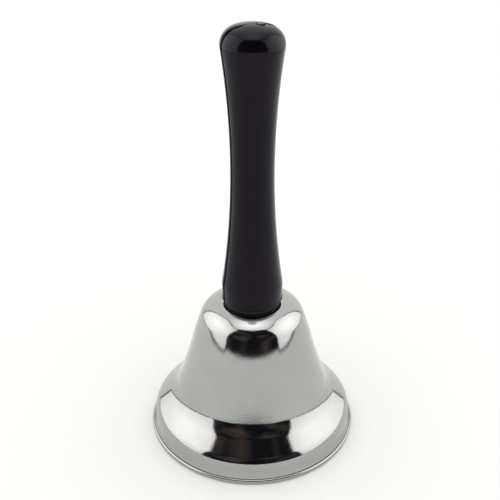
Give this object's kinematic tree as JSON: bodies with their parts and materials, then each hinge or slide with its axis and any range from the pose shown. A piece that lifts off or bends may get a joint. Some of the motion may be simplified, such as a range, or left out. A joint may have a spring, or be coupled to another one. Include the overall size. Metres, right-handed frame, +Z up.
{
  "type": "service bell",
  "caption": "Hand-held service bell: flared chrome shell with a rolled rim, black waisted handle, and a ball clapper hung inside on a link.",
  "frame": {"origin": "centre of the circle on which the rim stands", "axes": "+Z up the bell's axis to the handle's domed end; the two handle halves meet on the plane y = 0; the clapper's main swing is in the XZ plane"},
  "size_m": [0.066, 0.066, 0.132],
  "materials": {
    "shell": "bright plated, slightly grainy",
    "gasket": "matt black",
    "handle": "black, polished mould",
    "insert": "turned",
    "fixings": "zinc plated",
    "spring_steel": "dull zinc plated",
    "wire": "drawn, nickel plated",
    "ball": "polished, nickel plated"
  },
  "bodies": {
    "bell": {"bell_shell": "shell", "crown_gasket": "gasket", "handle_front_half": "handle", "handle_back_half": "handle", "threaded_insert": "insert", "hanger_screw": "fixings", "crown_washer": "fixings", "lock_washer": "spring_steel", "crown_nut": "fixings"},
    "link": {"clapper_link": "wire"},
    "clapper": {"clapper_rod": "wire", "clapper_ball": "ball", "clapper_nut": "fixings"}
  },
  "joints": [
    {"name": "link_swing", "type": "hinge", "parent": "bell", "child": "link", "pos_m": [0, 0, 0.03574], "axis": [0, 1, 0], "range_deg": [-36, 36]},
    {"name": "clapper_swing", "type": "hinge", "parent": "link", "child": "clapper", "pos_m": [0, 0, 0.03199], "axis": [1, 0, 0], "range_deg": [-12, 12]}
  ]
}
